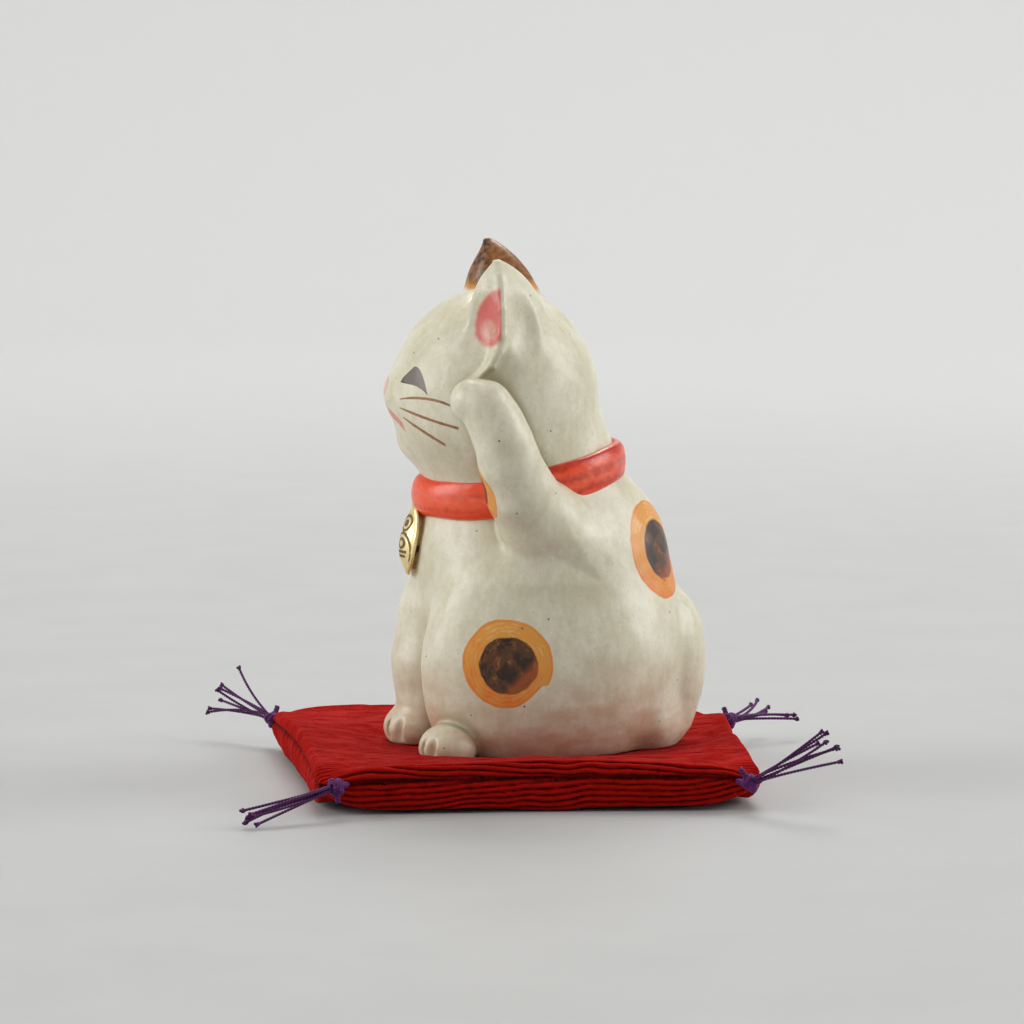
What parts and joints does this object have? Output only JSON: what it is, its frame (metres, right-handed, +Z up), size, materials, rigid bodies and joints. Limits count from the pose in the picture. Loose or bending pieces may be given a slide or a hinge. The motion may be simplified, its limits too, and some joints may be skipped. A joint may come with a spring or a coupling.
{
  "type": "beckoning cat figurine",
  "caption": "Glazed earthenware cat, seated with its left forepaw raised, with a red collar and gold coin, on a loose square red crepe cushion with purple corner tassels.",
  "frame": {"origin": "middle of the cushion's flat underside, on the surface that it lies on", "axes": "+Z up; the cat faces -Y and its raised left arm is on the +X side"},
  "size_m": [0.1293, 0.1387, 0.11],
  "materials": {
    "white_glaze": "cream crackled glaze with a soft gloss and fine brown specks",
    "brown_overglaze": "mottled brown painted under a soft-gloss glaze, orange towards its edge",
    "red_overglaze": "orange-red painted glaze, glossy",
    "gold_lustre": "gold lustre over glaze, bright, with brown painted marks",
    "red_crepe": "crepe weave with fine wavy ridges, matt with a faint sheen",
    "wadding": "loose polyester wadding",
    "purple_cord": "fine twisted cord, matt with a faint sheen"
  },
  "bodies": {
    "cushion": {"cushion_top_cover": "red_crepe", "cushion_bottom_cover": "red_crepe", "cushion_filling": "wadding", "front_left_tassel_knot": "purple_cord", "back_left_tassel_knot": "purple_cord", "front_right_tassel_knot": "purple_cord", "back_right_tassel_knot": "purple_cord"},
    "figurine": {"trunk_shell": "white_glaze", "head_shell": "white_glaze", "left_ear": "white_glaze", "right_ear": "brown_overglaze", "raised_left_arm": "white_glaze", "right_foreleg": "white_glaze", "left_hind_paw": "white_glaze", "right_hind_paw": "white_glaze", "tail": "white_glaze", "collar_band": "red_overglaze", "koban_medallion": "gold_lustre"},
    "front_left_tassel": {"front_left_strand_1": "purple_cord", "front_left_strand_2": "purple_cord", "front_left_strand_3": "purple_cord", "front_left_strand_4": "purple_cord", "front_left_strand_5": "purple_cord", "front_left_strand_6": "purple_cord", "front_left_strand_7": "purple_cord"},
    "back_left_tassel": {"back_left_strand_1": "purple_cord", "back_left_strand_2": "purple_cord", "back_left_strand_3": "purple_cord", "back_left_strand_4": "purple_cord", "back_left_strand_5": "purple_cord", "back_left_strand_6": "purple_cord", "back_left_strand_7": "purple_cord"},
    "front_right_tassel": {"front_right_strand_1": "purple_cord", "front_right_strand_2": "purple_cord", "front_right_strand_3": "purple_cord", "front_right_strand_4": "purple_cord", "front_right_strand_5": "purple_cord", "front_right_strand_6": "purple_cord", "front_right_strand_7": "purple_cord"},
    "back_right_tassel": {"back_right_strand_1": "purple_cord", "back_right_strand_2": "purple_cord", "back_right_strand_3": "purple_cord", "back_right_strand_4": "purple_cord", "back_right_strand_5": "purple_cord", "back_right_strand_6": "purple_cord", "back_right_strand_7": "purple_cord"}
  },
  "joints": [
    {"name": "figurine_lift", "type": "slide", "parent": "cushion", "child": "figurine", "axis": [0, 0, 1], "range_m": [0, 0.04]},
    {"name": "front_left_tassel_bend", "type": "hinge", "parent": "cushion", "child": "front_left_tassel", "pos_m": [0.04592, -0.04048, 0.006], "axis": [-0.8829, -0.4695, 0], "range_deg": [0, 60], "stiffness_Nm_per_rad": 0.0006},
    {"name": "back_left_tassel_bend", "type": "hinge", "parent": "cushion", "child": "back_left_tassel", "pos_m": [0.04696, 0.04104, 0.006], "axis": [0.829, -0.5592, 0], "range_deg": [-36, 40], "stiffness_Nm_per_rad": 0.0006},
    {"name": "front_right_tassel_bend", "type": "hinge", "parent": "cushion", "child": "front_right_tassel", "pos_m": [-0.04698, -0.04915, 0.006], "axis": [-0.7071, 0.7071, 0], "range_deg": [-24, 40], "stiffness_Nm_per_rad": 0.0006},
    {"name": "back_right_tassel_bend", "type": "hinge", "parent": "cushion", "child": "back_right_tassel", "pos_m": [-0.03802, 0.0477, 0.006], "axis": [0.9272, 0.3746, 0], "range_deg": [-9, 60], "stiffness_Nm_per_rad": 0.0006}
  ]
}
